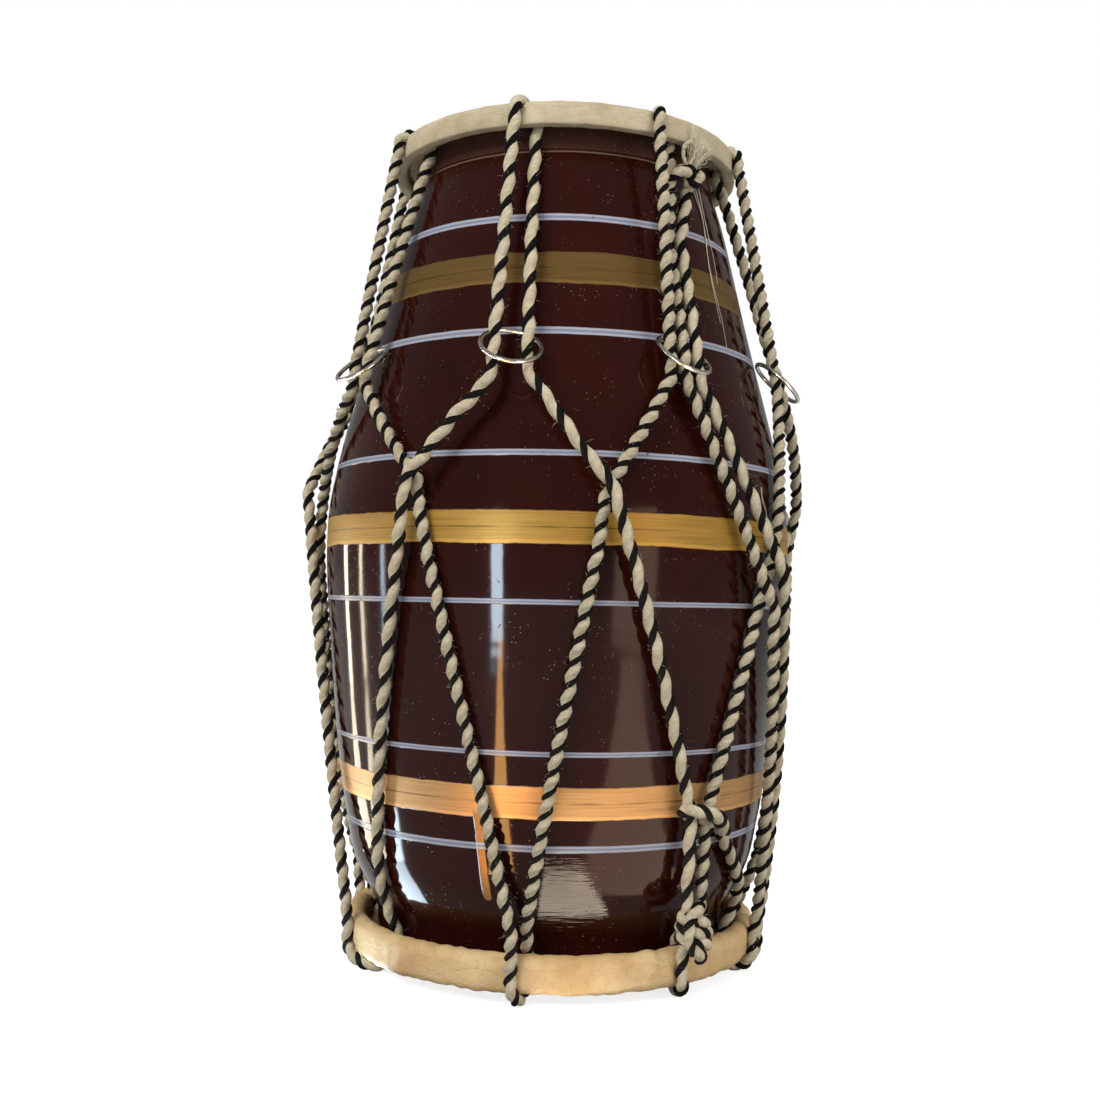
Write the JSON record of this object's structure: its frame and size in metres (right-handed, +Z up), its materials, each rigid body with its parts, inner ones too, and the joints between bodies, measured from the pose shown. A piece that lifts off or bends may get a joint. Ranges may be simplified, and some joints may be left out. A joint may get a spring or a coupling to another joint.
{
  "type": "dholak",
  "caption": "Barrel drum stood on its bass end, with hide heads lapped on hoops, zigzag rope lacing and metal tension rings that slide on the lacing.",
  "frame": {"origin": "where the drum's axis meets the floor that its bass end rests on", "axes": "+Z up along the drum's axis from the bass head to the treble head, -Y towards the front"},
  "size_m": [0.2809, 0.2803, 0.442],
  "materials": {
    "lacquered_wood": "gloss lacquer",
    "hoop_iron": "plain",
    "treble_hide": "raw hide",
    "bass_hide": "raw hide",
    "tuning_paste": "matte",
    "ring_steel": "bright plated",
    "lacing_cotton": "twisted cotton, cream with a black strand"
  },
  "bodies": {
    "drum": {"shell": "lacquered_wood", "treble_hoop": "hoop_iron", "bass_hoop": "hoop_iron", "treble_skin": "treble_hide", "bass_skin": "bass_hide", "bass_paste": "tuning_paste", "lacing_1": "lacing_cotton", "lacing_2": "lacing_cotton", "lacing_3": "lacing_cotton", "lacing_4": "lacing_cotton", "lacing_5": "lacing_cotton", "lacing_6": "lacing_cotton", "lacing_7": "lacing_cotton", "lacing_8": "lacing_cotton", "lacing_9": "lacing_cotton", "lacing_tail": "lacing_cotton", "bass_turn_1": "lacing_cotton", "bass_turn_2": "lacing_cotton", "bass_turn_3": "lacing_cotton", "bass_turn_4": "lacing_cotton", "bass_turn_5": "lacing_cotton", "bass_turn_6": "lacing_cotton", "bass_turn_7": "lacing_cotton", "bass_turn_8": "lacing_cotton", "bass_turn_9": "lacing_cotton", "treble_knot": "lacing_cotton", "bass_knot": "lacing_cotton", "bass_wrap": "lacing_cotton"},
    "ring_1": {"tension_ring_1": "ring_steel"},
    "ring_2": {"tension_ring_2": "ring_steel"},
    "ring_3": {"tension_ring_3": "ring_steel"},
    "ring_4": {"tension_ring_4": "ring_steel"},
    "ring_5": {"tension_ring_5": "ring_steel"},
    "ring_6": {"tension_ring_6": "ring_steel"},
    "ring_7": {"tension_ring_7": "ring_steel"},
    "ring_8": {"tension_ring_8": "ring_steel"}
  },
  "joints": [
    {"name": "ring_1_slide", "type": "slide", "parent": "drum", "child": "ring_1", "axis": [0.1879, 0.1712, 0.9672], "range_m": [0, 0.0495]},
    {"name": "ring_2_slide", "type": "slide", "parent": "drum", "child": "ring_2", "axis": [0.0323, 0.2585, 0.9655], "range_m": [0, 0.0495]},
    {"name": "ring_3_slide", "type": "slide", "parent": "drum", "child": "ring_3", "axis": [-0.0846, 0.2377, 0.9677], "range_m": [0, 0.0495]},
    {"name": "ring_4_slide", "type": "slide", "parent": "drum", "child": "ring_4", "axis": [-0.2313, 0.0949, 0.9682], "range_m": [0, 0.0495]},
    {"name": "ring_5_slide", "type": "slide", "parent": "drum", "child": "ring_5", "axis": [-0.2116, -0.131, 0.9686], "range_m": [0, 0.0495]},
    {"name": "ring_6_slide", "type": "slide", "parent": "drum", "child": "ring_6", "axis": [-0.0606, -0.2527, 0.9656], "range_m": [0, 0.0495]},
    {"name": "ring_7_slide", "type": "slide", "parent": "drum", "child": "ring_7", "axis": [0.131, -0.2116, 0.9686], "range_m": [0, 0.0495]},
    {"name": "ring_8_slide", "type": "slide", "parent": "drum", "child": "ring_8", "axis": [0.2526, -0.0606, 0.9657], "range_m": [0, 0.0495]}
  ]
}
